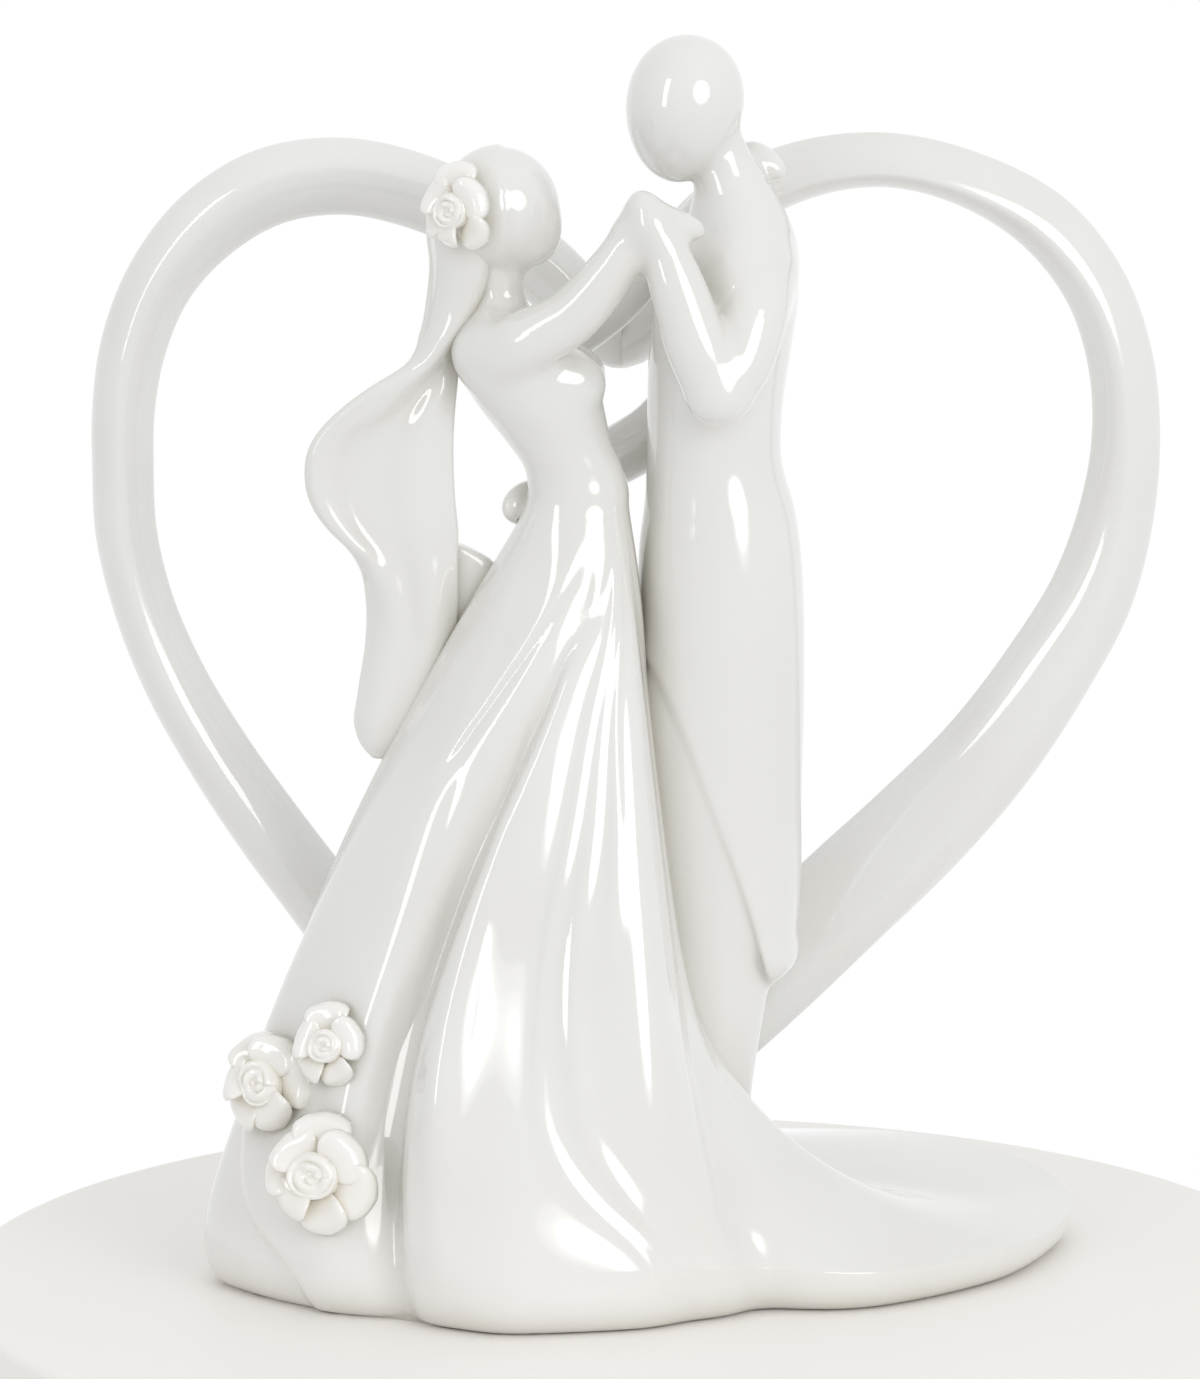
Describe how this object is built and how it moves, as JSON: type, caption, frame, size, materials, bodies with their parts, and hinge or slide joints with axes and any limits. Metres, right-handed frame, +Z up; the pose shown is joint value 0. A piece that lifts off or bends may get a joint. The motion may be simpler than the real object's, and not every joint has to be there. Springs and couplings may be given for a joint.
{
  "type": "cake topper",
  "caption": "Glazed porcelain cake topper: a bride in a pleated gown with a train dances with a groom before an open upright heart.",
  "frame": {"origin": "on the floor, under the middle of the topper's box, which is also the heart's middle line", "axes": "+Z up, -Y to the front, +X to the viewer's right, from the bride towards the groom"},
  "size_m": [0.133, 0.07, 0.1528],
  "materials": {
    "glazed_porcelain": "cool white glaze, high gloss",
    "rose_porcelain": "warm white glaze, glossy, creamier in the hearts of the flowers"
  },
  "bodies": {
    "root": {"gown_skirt": "glazed_porcelain", "groom_trousers": "glazed_porcelain", "groom_coat": "glazed_porcelain", "groom_head": "glazed_porcelain", "groom_left_arm": "glazed_porcelain", "bride_bodice": "glazed_porcelain", "bride_head": "glazed_porcelain", "groom_right_arm": "glazed_porcelain", "bride_right_arm": "glazed_porcelain", "bride_left_arm": "glazed_porcelain", "bridal_veil": "glazed_porcelain", "veil_stay": "glazed_porcelain", "heart_left_half": "glazed_porcelain", "heart_right_half": "glazed_porcelain", "rose_upper_bud": "rose_porcelain", "rose_upper_petal_1": "rose_porcelain", "rose_upper_petal_2": "rose_porcelain", "rose_upper_petal_3": "rose_porcelain", "rose_upper_petal_4": "rose_porcelain", "rose_upper_petal_5": "rose_porcelain", "rose_left_bud": "rose_porcelain", "rose_left_petal_1": "rose_porcelain", "rose_left_petal_2": "rose_porcelain", "rose_left_petal_3": "rose_porcelain", "rose_left_petal_4": "rose_porcelain", "rose_left_petal_5": "rose_porcelain", "rose_left_petal_6": "rose_porcelain", "rose_lower_bud": "rose_porcelain", "rose_lower_petal_1": "rose_porcelain", "rose_lower_petal_2": "rose_porcelain", "rose_lower_petal_3": "rose_porcelain", "rose_lower_petal_4": "rose_porcelain", "rose_lower_petal_5": "rose_porcelain", "rose_lower_petal_6": "rose_porcelain", "rose_lower_petal_7": "rose_porcelain", "hair_flower_bud": "rose_porcelain", "hair_flower_petal_1": "rose_porcelain", "hair_flower_petal_2": "rose_porcelain", "hair_flower_petal_3": "rose_porcelain", "hair_flower_petal_4": "rose_porcelain", "hair_flower_petal_5": "rose_porcelain", "hair_flower_petal_6": "rose_porcelain"}
  },
  "joints": []
}
